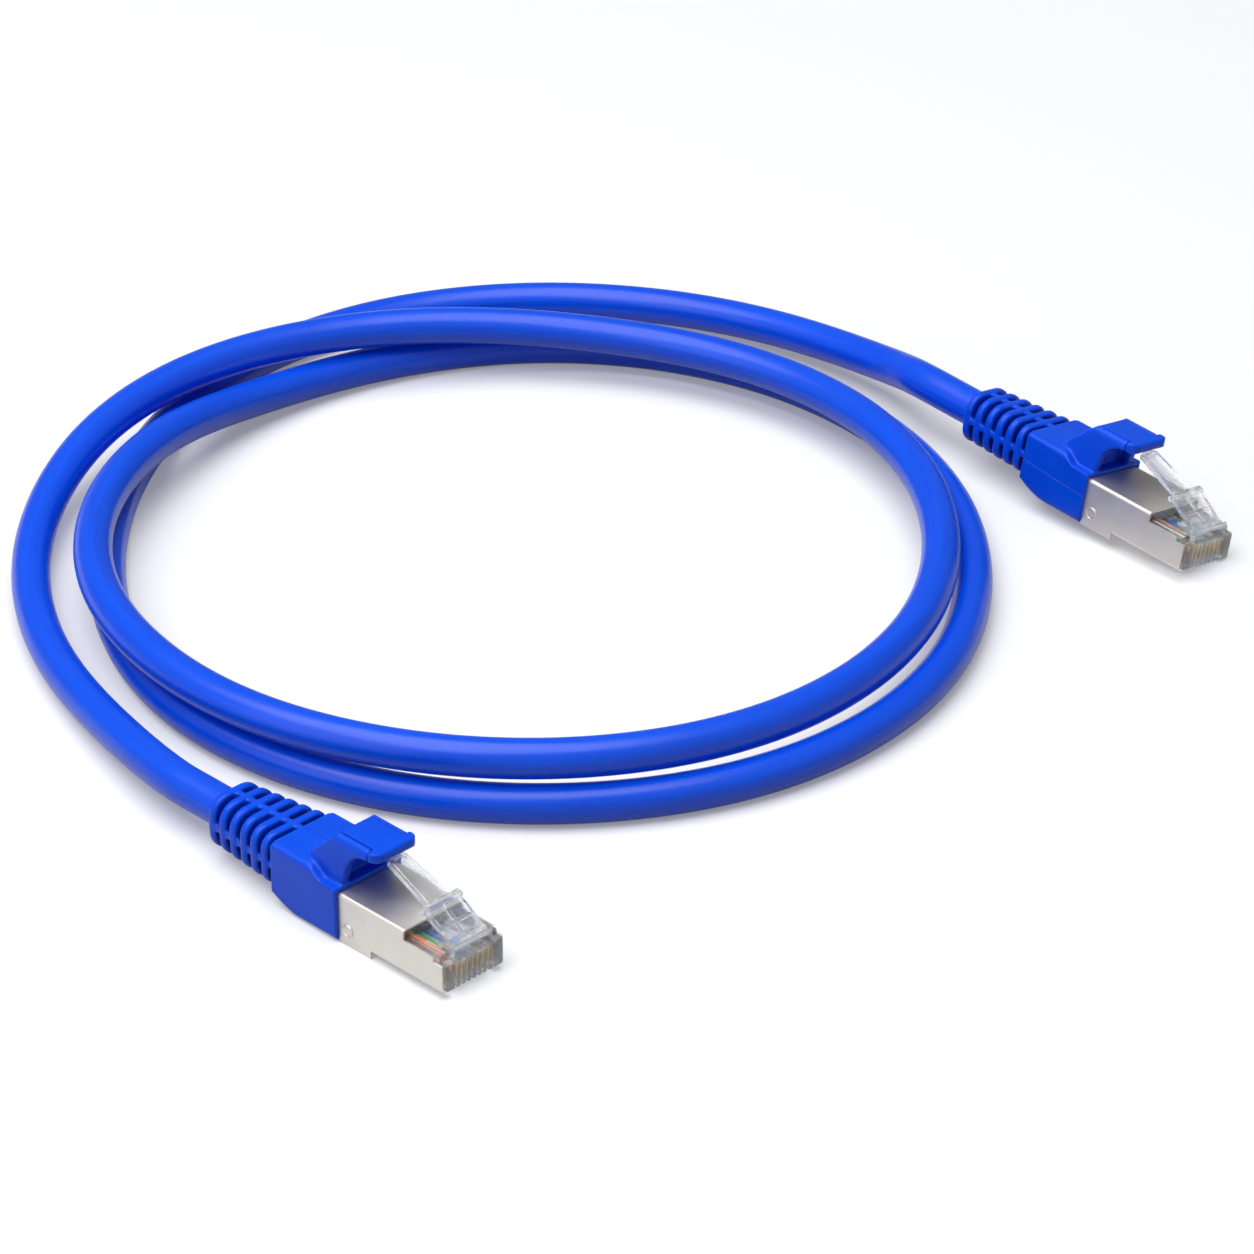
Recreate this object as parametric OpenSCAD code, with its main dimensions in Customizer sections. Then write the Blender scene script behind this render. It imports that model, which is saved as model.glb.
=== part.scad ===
// Shielded ethernet patch cable: one screened cable laid in two loose turns,
// with a moulded boot, a shielded 8P8C plug and a sprung latch at each end.
// Each plug is drawn in its own frame: x = 0 at the front face of its boot and +x towards
// the nose, y across the plug, z = 0 at the surface that a level plug rests on.

/* [Cable] */
// Outer diameter of the jacket
jacket_d = 6.2; // [5.8:0.1:6.4]
// Wall of the jacket
jacket_wall = 0.65; // [0.5:0.05:0.8]
// Gap between the jacket and the foil-wrapped pairs inside it
core_gap = 0.15; // [0.12:0.01:0.25]
// Gap between two turns where one lies on the other
lay_gap = 0.6; // [0.5:0.1:1.5]
// Angle in plan of plug A
yaw_a = -45; // [-48:1:-42]
// Angle in plan of plug B
yaw_b = -48; // [-51:1:-45]
// Nose-down tilt of plug B
pitch_b = 3; // [1:0.5:4]
// Sideways lean of plug B
roll_b = -9; // [-12:1:0]

/* [Boot] */
// Length of the solid block of the boot
block_l = 14; // [13.5:0.5:16]
// Width of the block at its front face
block_w = 13; // [12.8:0.1:14]
// Height of the block at its rear
block_h = 10.4; // [10.2:0.1:11]
// Height of the block at its front face
block_front_h = 8.8; // [8.7:0.1:9.4]
// Height of the cable's axis above the surface that the plug rests on
cable_z = 6; // [5.9:0.05:6.2]
// Number of strain-relief rings
ring_count = 6; // [4:1:7]
// Distance from ring to ring
ring_pitch = 2.56; // [2.2:0.02:3]
// Thickness of a ring along the cable
ring_t = 1.5; // [1.2:0.1:1.7]
// Width of the ring at the cable's end of the boot
ring_end_w = 9.4; // [9:0.1:10.4]
// Height of the ring at the cable's end of the boot
ring_end_h = 8.8; // [8.4:0.1:8.8]
// Width of the webs that join the rings
web_w = 1; // [0.7:0.1:1.6]

/* [Hood and press tab] */
// Height of the hood's crest
hood_h = 16.2; // [16:0.1:16.5]
// Length of the hood along the plug, at its foot
hood_l = 6.9; // [6.5:0.1:7.3]
// Width of the hood at its foot
hood_foot_w = 9.8; // [9.4:0.1:10.4]
// Wall of the hood
hood_wall = 1.4; // [1.2:0.1:1.5]
// Width of the slot in the hood for the tongue of the press tab
tongue_slot_w = 6; // [5.4:0.1:6.2]
// Gap between the tongue and each side of its slot
tongue_gap = 0.15; // [0.12:0.01:0.25]
// Width of the head of the press tab
tab_w = 8.4; // [8:0.1:8.8]
// Reach of the head past the free end of the latch
tab_over = 0.8; // [0.6:0.1:1]
// Thickness of the press tab
tab_t = 1.6; // [1.4:0.1:1.7]

/* [Shield] */
// Width of the shield
shield_w = 11.7; // [11.5:0.05:11.8]
// Height of the shield
shield_h = 7; // [6.9:0.1:7.1]
// Thickness of the shield's sheet
sheet_t = 0.3; // [0.2:0.05:0.35]
// Visible length of the shield's sides
shield_l = 21.4; // [21:0.1:21.7]
// Length of the top plate in front of the boot
top_plate_l = 13.5; // [12.5:0.1:14]
// Length of the deep flap at the foot of each side
flap_l = 6.6; // [5:0.1:8]
// Depth of the flap below the shield
flap_h = 1; // [0.8:0.1:1.2]

/* [Plug body] */
// Length of the clear body in front of the boot
nose_x = 21.8; // [21.7:0.1:22.3]
// Gap between the clear body and the shield
body_gap = 0.06; // [0.04:0.01:0.1]
// Width of each shoulder beside the latch
shoulder_w = 1.9; // [1.5:0.1:2.1]

/* [Latch] */
// Width of the latch at its root
latch_root_w = 6.6; // [6:0.1:6.7]
// Width of the latch's arm at its stops
latch_arm_w = 4.6; // [4.2:0.1:5]
// Width of the latch's arm at its free end
latch_tip_w = 3.4; // [3:0.1:3.6]
// Thickness of the latch
latch_t = 0.9; // [0.7:0.1:1]
// Length of the latch from its root to its free end
latch_l = 16.3; // [16:0.1:16.6]
// Radius of the rolled root that the latch turns on
root_r = 0.6; // [0.5:0.05:0.65]

/* [Contacts and wires] */
// Distance from contact to contact
contact_pitch = 1.02; // [1.02:0.01:1.04]
// Thickness of a contact blade
contact_t = 0.35; // [0.3:0.01:0.38]
// Gap on each side of a blade in its slot
contact_gap = 0.06; // [0.04:0.01:0.08]
// Diameter of an insulated wire
wire_d = 0.84; // [0.78:0.01:0.86]
// Gap round a wire in the load bar
wire_gap = 0.05; // [0.03:0.01:0.06]

/* [Hidden] */
$fn = 48;

// Colours
jacket_blue = [0.05, 0.16, 0.86];
boot_blue = [0.03, 0.13, 0.8];
nickel = [0.78, 0.77, 0.74];
clear_plastic = [0.85, 0.88, 0.92, 0.45];
gold = [0.85, 0.68, 0.35];
foil = [0.7, 0.72, 0.75];

// Cut depth past a face, so that no cut ends on it
past = 0.1;

function rot_z(a, v) = [cos(a) * v[0] - sin(a) * v[1], sin(a) * v[0] + cos(a) * v[1], v[2]];
function arc(centre, r, from, to, steps) =
  [for (i = [0:steps])
    let (turn = from + (to - from) * i / steps)
    centre + r * [cos(turn), sin(turn)]];
function dist(a, b) = norm(a - b);
function unit(v) = v / norm(v);

// Boot and cable
ring_zone_l = ring_count * ring_pitch;
boot_l = block_l + ring_zone_l;
jacket_r = jacket_d / 2;
bore_r = jacket_r - jacket_wall;
core_r = bore_r - core_gap;
boot_bore_r = jacket_r + 0.15;

// Shield, its seat in the boot, and the parts behind it
shield_z = flap_h;
shield_top = shield_z + shield_h;
shield_tuck = 2;
yoke_t = 0.5;
seat_gap = 0.12;
seat_x = -shield_tuck - yoke_t - 0.1;
ferrule_wall = 0.5;
ferrule_bore_r = jacket_r + 0.1;
ferrule_r = ferrule_bore_r + ferrule_wall;
ferrule_x = [-11, -7];
jacket_end_x = -9.5;
core_end_x = -8;

// Clear body and what it holds
inner_w = shield_w - 2 * sheet_t;
body_w = inner_w - 2 * body_gap;
body_z = shield_z + sheet_t + body_gap;
body_top = shield_top - sheet_t - body_gap;
body_rear_x = -1.5;
lip_z = shield_z + 4.6;
wire_z = shield_z + 3.4;
wire_rows = [0.55, -0.55];
wire_count = 8;
wire_end_x = nose_x - 2.1;
wire_fan_x = -1;
core_pitch = 0.52;
bar_x = [0.5, 6];
bar_w = 9.4;
bar_h = 3.2;
bar_gap = 0.1;
contact_x = [14.6, nose_x - 0.5];
slot_w = contact_t + 2 * contact_gap;

// Latch
latch_root = [nose_x - 1.2, shield_top - 0.55];
latch_gap = 0.06;
rail_w = 0.45;
web_t = 0.45;
stop_l = 0.9;
knee = [-5.9, 0.7];

// The latch leans so that its free end just clears the press tab, which reaches over that end
tab_under = hood_h - tab_t;
latch_play = 0.1;
latch_high = latch_t / 2;
latch_rise = asin((tab_under - latch_play - latch_root[1]) / norm([latch_l, latch_high]))
             - atan(latch_high / latch_l);
latch_end_x = latch_root[0] - latch_l * cos(latch_rise);
tab_reach = latch_end_x + tab_over;

// Hood and press tab. From the side the hood has a low rear edge, a ramp and a level crest,
// which two arms carry forward over an arch as far as the head of the press tab.
hood_x = [-hood_l, -0.3];
hood_edge_h = 11.7;
hood_crest = [-2.2, latch_end_x - 1.4];
hood_shoulder_r = 1.3;
arch_foot_x = hood_x[1] + 0.4;
arch_r = hood_crest[1] - arch_foot_x - 0.1;
tongue_w = tongue_slot_w - 2 * tongue_gap;
tab_pin = [hood_crest[0] + 0.6, hood_h - 3];
tab_pin_r = 0.75;
pin_gap = 0.06;
tab_seam = 0.2;
tab_head_x = hood_crest[1] + tab_seam;
lug_w = 1.9;

// Where the plugs lie: the middle of the cable where it leaves each boot
exit_a = [-75, -42, cable_z];
exit_b = [41.4, 78.2, cable_z + 2.75];
dir_a = rot_z(yaw_a, [-1, 0, 0]);
dir_b = rot_z(yaw_b, [-cos(pitch_b), 0, sin(pitch_b)]);

// Route of the cable from boot A to boot B: x, y and the height in layers,
// where 0 lies on the floor and 1 lies on another turn. The cable leaves boot A, runs one
// turn, crosses over its last stretch, lies on the turn below it, and ends in boot B.
lay_points = [
  [-103, -1.5, 0], [-111.5, 22.5, 0], [-113.5, 47, 0.2], [-107, 71, 0.8], [-92, 91, 1.08],
  [-71, 104.5, 1.06], [-46.5, 110, 0.98], [-20.5, 108, 0.8], [2.5, 99, 0.76], [20.5, 82, 0.76],
  [31, 59.5, 0.76], [33.5, 34, 0.75], [28.5, 9, 0.75], [15.5, -12.5, 0.8], [-4, -28, 0.9],
  [-28.5, -34.5, 0.97], [-53.5, -31.5, 1], [-76, -20, 1], [-92.5, -1, 1.01], [-102, 22, 1.02],
  [-102.5, 47, 1], [-94.5, 70.5, 0.92], [-81, 92, 0.16], [-62, 107.5, 0], [-37.5, 115.5, 0],
  [-12, 113, 0], [10.5, 101, 0], [27, 82, 0], [36.5, 58.5, 0], [38.5, 33, 0],
  [34, 8, 0], [21.5, -13.5, 0], [2, -29, 0], [-22, -36, 0], [-47.5, -34.5, 0],
  [-70.5, -24, 0], [-88, -6.5, 0], [-98, 16.5, 0], [-101.5, 41, 0], [-100, 66.5, 0],
  [-93, 91, 0], [-80, 112, 0], [-60, 127, 0], [-35.5, 133, 0], [-10.5, 129.5, 0.04],
  [11, 117.5, 0.2], [28.3, 98.7, 0.5]
];
lead_out = [8, 16];
layer_h = jacket_d + lay_gap;
route = concat(
  [exit_a - (boot_l + jacket_end_x) * dir_a, exit_a],
  [for (s = lead_out) exit_a + s * dir_a],
  [for (p = lay_points) [p[0], p[1], jacket_r + p[2] * layer_h]],
  [for (s = [lead_out[1], lead_out[0]]) exit_b + s * dir_b],
  [exit_b, exit_b - (boot_l + jacket_end_x) * dir_b]
);

// Cubic B-spline through the route: the curve starts and ends on its first and last points
last = len(route) - 1;
knots = concat([2 * route[0] - route[1]], route, [2 * route[last] - route[last - 1]]);
function blend(a, b, c, d, t) =
  (pow(1 - t, 3) * a + (3 * t * t * t - 6 * t * t + 4) * b
   + (-3 * t * t * t + 3 * t * t + 3 * t + 1) * c + t * t * t * d) / 6;
function on_route(u) =
  let (i = min(floor(u), last - 1), t = u - i)
  blend(knots[i], knots[i + 1], knots[i + 2], knots[i + 3], t);

// Rings of the swept tubes, each square to the route
tube_sides = 10;
tube_steps = 90;
function along(steps) = [for (i = [0:steps]) on_route(last * i / steps)];
function heading(path, i) = unit(path[min(i + 1, len(path) - 1)] - path[max(i - 1, 0)]);
function ring(centre, way, r) =
  let (side = unit(cross(way, [0, 0, 1])), up = cross(side, way))
  [for (k = [0:tube_sides - 1])
    centre + r * (cos(360 * k / tube_sides) * up + sin(360 * k / tube_sides) * side)];
function skin(rings, first) =
  [for (i = [0:rings - 2], k = [0:tube_sides - 1], half = [0, 1])
    let (
      a = first + i * tube_sides + k,
      b = first + i * tube_sides + (k + 1) % tube_sides
    )
    half == 0 ? [a, a + tube_sides, b] : [b, a + tube_sides, b + tube_sides]];
function flipped(faces) = [for (f = faces) [f[2], f[1], f[0]]];

path = along(tube_steps);
cable_length = sum([for (i = [1:tube_steps]) dist(path[i], path[i - 1])]);
function sum(v, i = 0) = i < len(v) ? v[i] + sum(v, i + 1) : 0;

// Least gap of the cable to itself, from each fine point to each fine stretch
fine_steps = 300;
fine = along(fine_steps);
skip = ceil(40 * fine_steps / cable_length);
function to_stretch(p, a, b) =
  let (t = max(0, min(1, ((p - a) * (b - a)) / ((b - a) * (b - a)))))
  dist(p, a + t * (b - a));
function to_far_stretches(i) =
  min([for (j = [i + skip:fine_steps - 1]) to_stretch(fine[i], fine[j], fine[j + 1])]);
least_gap = min([for (i = [0:fine_steps - 1 - skip]) to_far_stretches(i)]) - jacket_d;
echo(cable_length = cable_length, least_gap = least_gap);

module tube(outer_r, inner_r) {
  rings = tube_steps + 1;
  ends = [0, (rings - 1) * tube_sides];
  inner = rings * tube_sides;
  points = concat(
    [for (i = [0:rings - 1]) each ring(path[i], heading(path, i), outer_r)],
    [for (i = [0:rings - 1]) each ring(path[i], heading(path, i), inner_r)]
  );
  caps = [for (k = [0:tube_sides - 1], end = [0, 1], half = [0, 1])
    let (
      a = ends[end] + k,
      b = ends[end] + (k + 1) % tube_sides,
      tri = half == 0 ? [a, b, a + inner] : [b, b + inner, a + inner]
    )
    end == 0 ? tri : [tri[2], tri[1], tri[0]]];
  polyhedron(points, concat(skin(rings, 0), flipped(skin(rings, inner)), caps));
}

module rod(r) {
  rings = tube_steps + 1;
  middle = rings * tube_sides;
  points = concat(
    [for (i = [0:rings - 1]) each ring(path[i], heading(path, i), r)],
    [path[0], path[tube_steps]]
  );
  start_cap = [for (k = [0:tube_sides - 1]) [k, (k + 1) % tube_sides, middle]];
  end_first = (rings - 1) * tube_sides;
  end_cap = [for (k = [0:tube_sides - 1]) [end_first + (k + 1) % tube_sides, end_first + k, middle + 1]];
  polyhedron(points, concat(skin(rings, 0), start_cap, end_cap));
}

// Places a plug's parts at its end of the cable
module at_a() {
  translate(exit_a) rotate([0, 0, yaw_a]) translate([boot_l, 0, -cable_z]) children();
}
module at_b() {
  translate(exit_b) rotate([roll_b, pitch_b, yaw_b]) translate([boot_l, 0, -cable_z]) children();
}

// A square block between two corners
module block(from, to) { translate(from) cube(to - from); }

// A rectangle with round corners, about its middle
module round_rect(w, h, r) {
  square([w - 2 * r, h], center = true);
  square([w, h - 2 * r], center = true);
  for (x = [-1, 1], y = [-1, 1]) translate([x * (w / 2 - r), y * (h / 2 - r)]) circle(r, $fn = 32);
}

// An outline drawn across the plug, extruded along it
module along_x(from, to) {
  translate([from, 0, 0]) rotate([90, 0, 90]) linear_extrude(to - from) children();
}
// An outline drawn from the side, extruded across the plug
module across_y(half_w) {
  translate([0, half_w, 0]) rotate([90, 0, 0]) linear_extrude(2 * half_w) children();
}
// A cylinder along the plug, or across it
module rod_x(from, to, y, z, r) {
  translate([from, y, z]) rotate([0, 90, 0]) cylinder(h = to - from, r = r);
}
module rod_y(half_w, x, z, r) {
  translate([x, half_w, z]) rotate([90, 0, 0]) cylinder(h = 2 * half_w, r = r);
}

module jacket() { color(jacket_blue) tube(jacket_r, bore_r); }
module screened_core() { color(foil) rod(core_r); }

// The block's outline from the side: a flat foot that rises to the rear, and a top that
// steps down in an S-curve to the front
foot_l = 5;
foot_rise = 2.2;
foot_r = (pow(block_l - foot_l, 2) + pow(foot_rise, 2)) / (2 * foot_rise);
foot_turn = asin((block_l - foot_l) / foot_r);
step_x = [-6.5, -3];
block_side = concat(
  [[0, 0]],
  arc([-foot_l, foot_r], foot_r, -90, -90 - foot_turn, 8),
  [[-block_l, block_h]],
  [for (t = [0:0.125:1])
    let (fall = (1 - cos(180 * t)) / 2)
    [step_x[0] + t * (step_x[1] - step_x[0]), block_h - (block_h - block_front_h) * fall]],
  [[0, block_front_h]]
);
block_rear_w = block_w - 0.6;
block_edge_r = 1.3;
groove = 0.15;

module boot_block() {
  intersection() {
    across_y(block_w / 2) polygon(block_side);
    along_x(-block_l, 0) translate([0, block_h / 2]) round_rect(block_w, block_h, block_edge_r);
    linear_extrude(block_h)
      polygon([
        [-block_l, -block_rear_w / 2], [0, -block_w / 2],
        [0, block_w / 2], [-block_l, block_rear_w / 2]
      ]);
  }
}

// The strain-relief rings widen from the cable's end to the block, and have eased edges
ring_ease = 0.25;
ring_corner_r = [3, 2.2];
module rings() {
  for (i = [0:ring_count - 1]) {
    grow = i / (ring_count - 1);
    w = ring_end_w + grow * (block_rear_w - 0.4 - ring_end_w);
    h = ring_end_h - grow * (ring_end_h - (block_h - foot_rise));
    z = cable_z + grow * (block_h + foot_rise - 2 * cable_z) / 2;
    x = -boot_l + i * ring_pitch;
    r = ring_corner_r[0] + grow * (ring_corner_r[1] - ring_corner_r[0]);
    along_x(x, x + ring_t) translate([0, z]) round_rect(w - 2 * ring_ease, h - 2 * ring_ease, r);
    along_x(x + ring_ease, x + ring_t - ring_ease) translate([0, z]) round_rect(w, h, r);
  }
}

// Webs at both sides, above and below join each ring to the next, almost flush with them
module webs() {
  sunk = 0.15;
  end_y = ring_end_w / 2 - sunk;
  block_y = block_rear_w / 2 - 0.2 - sunk;
  along_x(-boot_l, -block_l) translate([0, cable_z]) square([web_w, ring_end_h - 2 * sunk], center = true);
  translate([0, 0, cable_z - web_w / 2]) linear_extrude(web_w)
    polygon([[-boot_l, -end_y], [-block_l, -block_y], [-block_l, block_y], [-boot_l, end_y]]);
}

// An arch's outline from behind: leaning sides under a level crest with round shoulders
function arch(foot_w, crest_w, top, r) =
  let (lean = atan((foot_w - crest_w) / 2 / (top - block_front_h)))
  concat(
    [[-foot_w / 2, 0], [-foot_w / 2, block_front_h]],
    arc([-crest_w / 2 + r, top - r], r, 180 - lean, 90, 6),
    arc([crest_w / 2 - r, top - r], r, 90, lean, 6),
    [[foot_w / 2, block_front_h], [foot_w / 2, 0]]
  );

// The hood is an arch over the latch, open in front, with a slot in its crest for the tongue
hood_side = concat(
  [[hood_x[0], block_front_h], [hood_x[0], hood_edge_h], [hood_crest[0], hood_h]],
  [[hood_crest[1], hood_h], [hood_crest[1], tab_under]],
  arc([arch_foot_x + arch_r, tab_under - arch_r], arch_r, 90, 180, 8),
  [[hood_x[1], block_front_h]]
);

module hood() {
  slot_x = tab_pin[0] - tab_pin_r - pin_gap;
  front = hood_crest[1] + 1;
  difference() {
    intersection() {
      across_y(block_w / 2) polygon(hood_side);
      along_x(hood_x[0], hood_crest[1]) polygon(arch(hood_foot_w, tab_w, hood_h, hood_shoulder_r));
    }
    intersection() {
      across_y(block_w / 2)
        polygon([
          [tab_pin[0] - 0.3, 0], [tab_pin[0] - 0.3, tab_pin[1] - 2], [tab_pin[0] + 0.7, tab_pin[1] - 1],
          [tab_pin[0] + 1.6, tab_under], [front, tab_under], [front, 0]
        ]);
      along_x(hood_x[0], front)
        polygon(arch(hood_foot_w - 2 * hood_wall, tab_w - 2 * hood_wall, tab_under, hood_shoulder_r));
    }
    across_y(tongue_slot_w / 2)
      polygon([
        [slot_x, tab_pin[1]], [slot_x, hood_h + 1], [front, hood_h + 1], [front, block_h + 0.2],
        [tab_pin[0] + 1.1, block_h + 0.2], [tab_pin[0] + 0.4, tab_pin[1] - 0.7]
      ]);
    rod_y(tongue_slot_w / 2, tab_pin[0], tab_pin[1], tab_pin_r + pin_gap);
  }
}

module boot() {
  color(boot_blue) difference() {
    union() {
      boot_block();
      rings();
      webs();
      hood();
    }
    // Bore of the cable, seat of the ferrule, room for the wires, and seat of the shield
    rod_x(-boot_l - past, ferrule_x[0] - seat_gap + past, 0, cable_z, boot_bore_r);
    rod_x(ferrule_x[0] - seat_gap, ferrule_x[1] + past, 0, cable_z, ferrule_r + seat_gap);
    block([ferrule_x[1], -4.3, 2.6], [seat_x + past, 4.3, shield_top - 0.2]);
    block(
      [seat_x, -shield_w / 2 - seat_gap, shield_z - seat_gap],
      [past, shield_w / 2 + seat_gap, shield_top + seat_gap]);
    // Parting lines of the moulding along both sides and the top
    for (side = [-1, 1])
      translate([0, side * block_w / 2, 5]) rotate([0, 5, 0])
        block([-block_l - past, -groove - 0.1, 0], [past, groove + 0.1, groove]);
    block([-block_l - past, 0.4, block_h - groove], [hood_x[0], 0.4 + groove, block_h + past]);
  }
}

// The press tab is the tongue of the hood, with a broad head over the free end of the latch
tongue_side = [
  [tab_pin[0] - 0.65, tab_pin[1]], [tab_pin[0] - 0.65, hood_h - 0.25], [tab_pin[0] - 0.4, hood_h],
  [tab_head_x + 1, hood_h], [tab_head_x + 1, tab_under],
  [tab_pin[0] + 1.5, tab_under - 0.1], [tab_pin[0] + 0.55, tab_pin[1] - 0.3]
];
head_side = concat(
  [[tab_head_x, tab_under], [tab_head_x, hood_h]],
  arc([tab_reach - 0.6, hood_h - 0.6], 0.6, 90, 0, 5),
  arc([tab_reach - 0.5, tab_under + 0.5], 0.5, 0, -90, 4)
);
module press_tab() {
  head_l = tab_reach - tab_head_x + 3;
  color(boot_blue) {
    rod_y(tongue_w / 2, tab_pin[0], tab_pin[1], tab_pin_r);
    across_y(tongue_w / 2) polygon(tongue_side);
    intersection() {
      across_y(tab_w / 2) polygon(head_side);
      translate([tab_head_x - 3, 0, 0]) linear_extrude(2 * hood_h)
        translate([head_l / 2, 0]) round_rect(head_l, tab_w, 1.7);
      along_x(tab_head_x - 1, tab_reach + 1)
        polygon(arch(hood_foot_w, tab_w, hood_h, hood_shoulder_r / 3));
    }
    // Guard behind the free end of the latch
    block([tab_reach - 2.9, -lug_w / 2, tab_under - 1.2], [tab_reach - 2, lug_w / 2, tab_under + 0.3]);
  }
}

// The shield is one sheet bent round the clear body, open over the latch and the contacts
step_z = [6.4, 5.6];
nose_step_x = shield_l - 1.8;
contact_open_w = 8.8;
dimple = [1.9, 2.6];

module plug_shield() {
  mid_z = shield_z + shield_h / 2;
  color(nickel) {
    difference() {
      along_x(-shield_tuck, shield_l) translate([0, mid_z]) round_rect(shield_w, shield_h, 0.6);
      along_x(-shield_tuck - past, shield_l + past) translate([0, mid_z])
        round_rect(inner_w, shield_h - 2 * sheet_t, 0.35);
      block([top_plate_l, -shield_w, step_z[0]], [shield_l + past, shield_w, shield_top + past]);
      block([nose_step_x, -shield_w, step_z[1]], [shield_l + past, shield_w, shield_top + past]);
      block(
        [contact_x[0], -contact_open_w / 2, shield_z - past],
        [shield_l + past, contact_open_w / 2, shield_z + sheet_t + past]);
    }
    for (side = [-1, 1]) {
      y = side * (shield_w - sheet_t) / 2;
      translate([0, y, 0]) block([0, -sheet_t / 2, 0], [flap_l, sheet_t / 2, shield_z + 1]);
      translate([dimple[0], side * shield_w / 2, dimple[1]]) rotate([90, 0, 0])
        cylinder(h = 0.24, r = 0.75, center = true);
    }
  }
}

// The clear body carries the latch between two shoulders and guides the wires to the contacts
module plug_body() {
  recess_z = lip_z + 0.35;
  shoulder_top = shield_top - 1;
  cheek_x = nose_x - 1.2;
  cradle_w = latch_root_w + 0.6;
  color(clear_plastic) difference() {
    union() {
      difference() {
        along_x(body_rear_x, nose_x) translate([0, (body_z + body_top) / 2])
          round_rect(body_w, body_top - body_z, 0.4);
        block([top_plate_l - 0.2, -body_w, lip_z], [nose_x + past, body_w, shield_top]);
      }
      for (side = [-1, 1]) {
        shoulder_y = side * (body_w - shoulder_w) / 2;
        block(
          [top_plate_l - 0.3, shoulder_y - shoulder_w / 2, lip_z - past],
          [cheek_x, shoulder_y + shoulder_w / 2, shoulder_top - shoulder_w / 2 + 0.1]);
        rod_x(top_plate_l - 0.3, cheek_x, shoulder_y, shoulder_top - shoulder_w / 2, shoulder_w / 2);
      }
      block([top_plate_l - 0.3, -body_w / 2 + 0.5, lip_z - past], [cheek_x, body_w / 2 - 0.5, recess_z]);
      block([cheek_x - 2.4, -cradle_w / 2, lip_z], [nose_x - 0.3, cradle_w / 2, latch_root[1]]);
      block([nose_x - 0.5, -cradle_w / 2, lip_z], [nose_x - 0.15, cradle_w / 2, shield_top]);
    }
    // Seat of the rolled root of the latch
    rod_y(latch_root_w / 2 + 0.1, latch_root[0], latch_root[1], root_r + latch_gap);
    block(
      [latch_root[0] - root_r - latch_gap - 3, -latch_root_w / 2 - 0.1, latch_root[1] - 0.6],
      [latch_root[0], latch_root_w / 2 + 0.1, latch_root[1] + past]);
    // Shallow recess in front of the latch's root
    block([nose_x - 0.3, -1.7, lip_z + 0.5], [nose_x + past, 1.7, shield_top - 0.7]);
    // Room for the load bar and for the row of wires
    block([body_rear_x - past, -bar_w / 2 - bar_gap, wire_z - bar_h / 2 - bar_gap],
      [bar_x[1] + bar_gap, bar_w / 2 + bar_gap, wire_z + bar_h / 2 + bar_gap]);
    block([bar_x[1], -wire_count * contact_pitch / 2, wire_z - 0.55],
      [wire_end_x + 0.2, wire_count * contact_pitch / 2, wire_z + 0.55]);
    // Slots of the contacts, open below and in front
    for (i = [0:wire_count - 1]) {
      y = row_y(i);
      block([contact_x[0] - contact_gap, y - slot_w / 2, body_z - past],
        [nose_x + past, y + slot_w / 2, wire_z - 0.3]);
      block([wire_end_x + 0.5, y - slot_w / 2, body_z], [nose_x + past, y + slot_w / 2, lip_z - 0.3]);
    }
  }
}

// The latch is drawn level, with a slight knee at its stops, then raised about its root
function latch_z(x) =
  x > knee[0] ? knee[1] * x / knee[0] : knee[1] * (x + latch_l) / (knee[0] + latch_l);
module strip(from, to, y, half_w, low, high) {
  translate([0, y, 0]) across_y(half_w)
    polygon([
      [from, latch_z(from) + low], [to, latch_z(to) + low],
      [to, latch_z(to) + high], [from, latch_z(from) + high]
    ]);
}
function arm_plan(inset) =
  let (root_y = latch_arm_w / 2 - inset, tip_y = latch_tip_w / 2 - inset, tip_x = -latch_l + inset)
  [[knee[0] + 0.1, -root_y], [tip_x + 0.5, -tip_y], [tip_x, -tip_y + 0.5],
   [tip_x, tip_y - 0.5], [tip_x + 0.5, tip_y], [knee[0] + 0.1, root_y]];

module latch() {
  high = latch_high;
  low = -high;
  half_w = latch_root_w / 2;
  stop_high = high + 0.5;
  color(clear_plastic) translate([latch_root[0], 0, latch_root[1]]) rotate([0, latch_rise, 0]) {
    rod_y(half_w, 0, 0, root_r);
    // Broad part: a thin floor under two rails, a middle rib and two cross ribs
    strip(knee[0], 0, 0, half_w, low, low + web_t);
    for (y = [-half_w + rail_w / 2, 0, half_w - rail_w / 2]) strip(knee[0], 0, y, rail_w / 2, low, high);
    for (x = [-3.1, -0.9]) strip(x, x + rail_w, 0, half_w, low, high);
    // Stops that catch the socket, with a nub at each side
    translate([knee[0], 0, knee[1]]) {
      across_y(half_w)
        polygon([[-stop_l, low], [0.1, low], [0.1, high + 0.2], [-0.3, stop_high], [-stop_l, stop_high]]);
      rod_y(half_w + 0.45, -0.4, 0.1, 0.5);
    }
    // Arm: a thin web between two rails, narrower towards the free end
    difference() {
      intersection() {
        strip(-latch_l, knee[0], 0, latch_arm_w, low, high);
        translate([0, 0, -1]) linear_extrude(4) polygon(arm_plan(0));
      }
      intersection() {
        strip(-latch_l, knee[0], 0, latch_arm_w, low + web_t, high + 1);
        translate([0, 0, -1]) linear_extrude(4) polygon(arm_plan(rail_w));
      }
    }
  }
}

// Place across the plug of a wire and its contact
function row_y(i) = (i - (wire_count - 1) / 2) * contact_pitch;

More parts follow.
